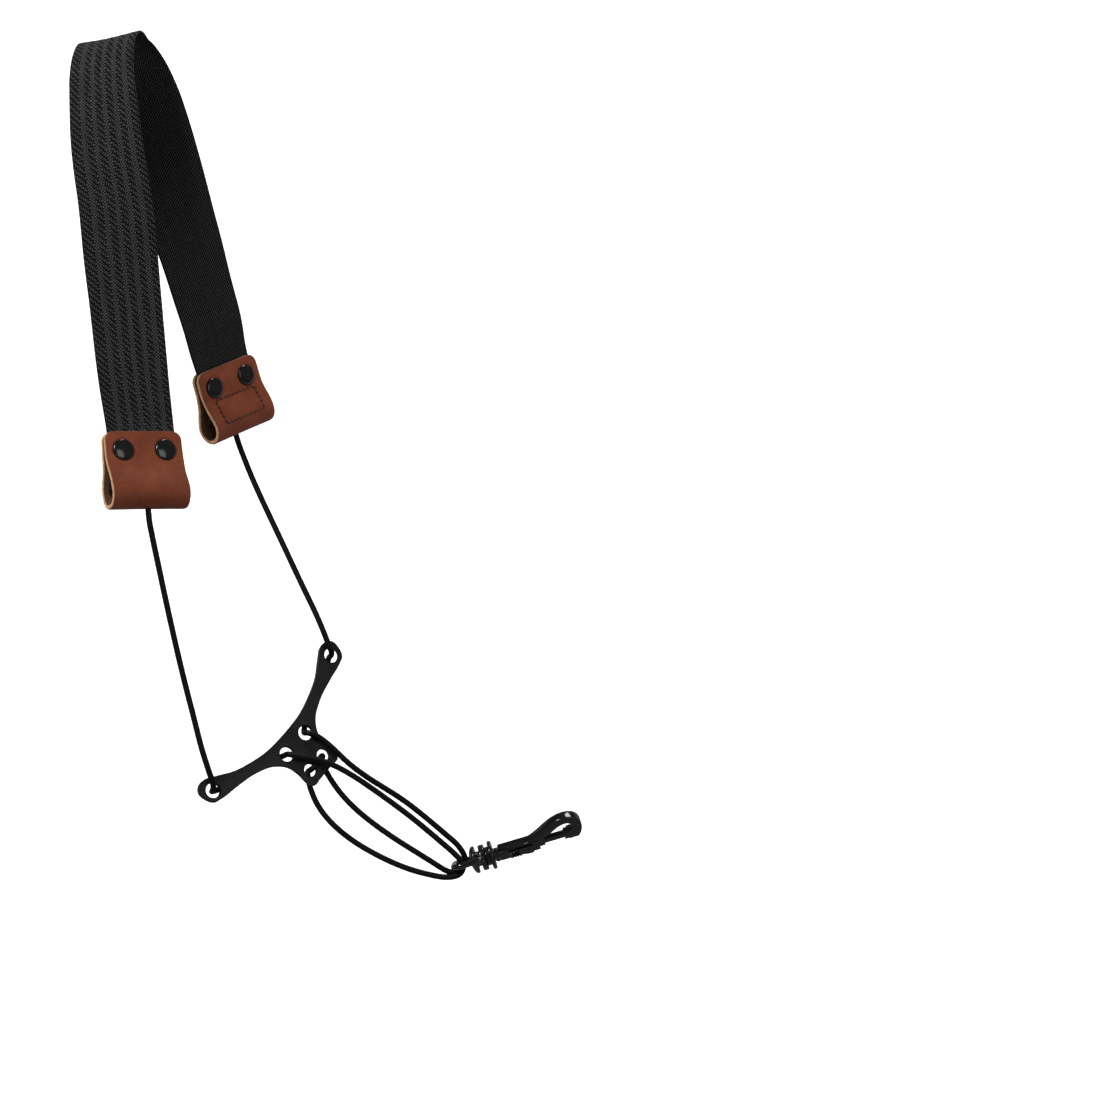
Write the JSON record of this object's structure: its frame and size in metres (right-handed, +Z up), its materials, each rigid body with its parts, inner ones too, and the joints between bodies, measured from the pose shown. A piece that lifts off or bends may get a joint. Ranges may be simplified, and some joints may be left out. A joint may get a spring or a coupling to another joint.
{
  "type": "saxophone neck strap",
  "caption": "Saxophone neck strap: folded black webbing, brown leather end tabs, round black cord, V shaped slider yoke and a gloss black swivel snap hook.",
  "frame": {"origin": "top of the neck fold, at the middle of the band", "axes": "+Z up as the strap hangs, +Y away from the viewer, +X towards the side the hook hangs on"},
  "size_m": [0.2633, 0.1049, 0.4406],
  "materials": {
    "webbing": "woven nylon",
    "leather": "smooth, waxed",
    "thread": "twisted thread",
    "cord": "braided nylon",
    "yoke_plastic": "satin",
    "black_metal": "gloss black",
    "spring_steel": "bright"
  },
  "bodies": {
    "neckband": {"neck_webbing": "webbing", "front_tab_leather": "leather", "front_tab_rivet_posts": "black_metal", "front_tab_rivet_caps": "black_metal", "front_tab_stitching": "thread", "front_cord_knot": "cord", "back_tab_leather": "leather", "back_tab_rivet_posts": "black_metal", "back_tab_rivet_caps": "black_metal", "back_tab_stitching": "thread", "back_cord_knot": "cord"},
    "upper_cords": {"front_upper_cord": "cord", "back_upper_cord": "cord"},
    "hole_bights": {"end_hole_cord_bights": "cord"},
    "yoke": {"yoke_plate": "yoke_plastic", "rear_cord_runs": "cord", "tail_cord_bridge": "cord", "upper_strand_far": "cord", "upper_strand_near": "cord", "lower_strand_far": "cord", "lower_strand_near": "cord"},
    "eye_turns": {"eye_cord_turns": "cord"},
    "eye": {"swivel_eye": "black_metal"},
    "hook": {"hook_body": "black_metal", "swivel_rivet": "black_metal", "swivel_washer": "black_metal", "swivel_cross_pin": "black_metal", "bolt_spring": "spring_steel"},
    "bolt_set": {"bolt": "black_metal", "thumb_lug": "black_metal", "lug_pin": "black_metal"}
  },
  "joints": [
    {"name": "cord_swing", "type": "hinge", "parent": "neckband", "child": "upper_cords", "pos_m": [0.02042, -0.01395, -0.24348], "axis": [0.4343, 0.7662, 0.4735], "range_deg": [-30, 30]},
    {"name": "yoke_slide", "type": "slide", "parent": "upper_cords", "child": "hole_bights", "axis": [0.3075, 0.0164, -0.9514], "range_m": [-0.09, 0.11], "deforming": ["front_upper_cord", "back_upper_cord"]},
    {"name": "yoke_tilt", "type": "hinge", "parent": "hole_bights", "child": "yoke", "pos_m": [0.08025, 0.02, -0.3532], "axis": [0.5692, 0.4692, 0.6752], "range_deg": [-30, 30]},
    {"name": "loop_slide", "type": "slide", "parent": "yoke", "child": "eye_turns", "axis": [0.7918, 0.0693, -0.6068], "range_m": [-0.055, 0.045], "deforming": ["upper_strand_far", "upper_strand_near", "lower_strand_far", "lower_strand_near"]},
    {"name": "eye_swing", "type": "hinge", "parent": "eye_turns", "child": "eye", "pos_m": [0.1748, 0.03, -0.4294], "axis": [0, 1, 0], "range_deg": [-11, 60]},
    {"name": "hook_swivel", "type": "hinge", "parent": "eye", "child": "hook", "pos_m": [0.1748, 0.03, -0.4294], "axis": [0.9583, 0, 0.2857], "continuous": true},
    {"name": "bolt_slide", "type": "slide", "parent": "hook", "child": "bolt_set", "axis": [-0.9583, 0, -0.2857], "range_m": [0, 0.0075], "stiffness_N_per_m": 250, "springref_m": -0.01, "deforming": ["bolt_spring"]}
  ],
  "couplings": [
    {"joint": "loop_slide", "follows": "yoke_slide", "ratio": -0.5}
  ]
}
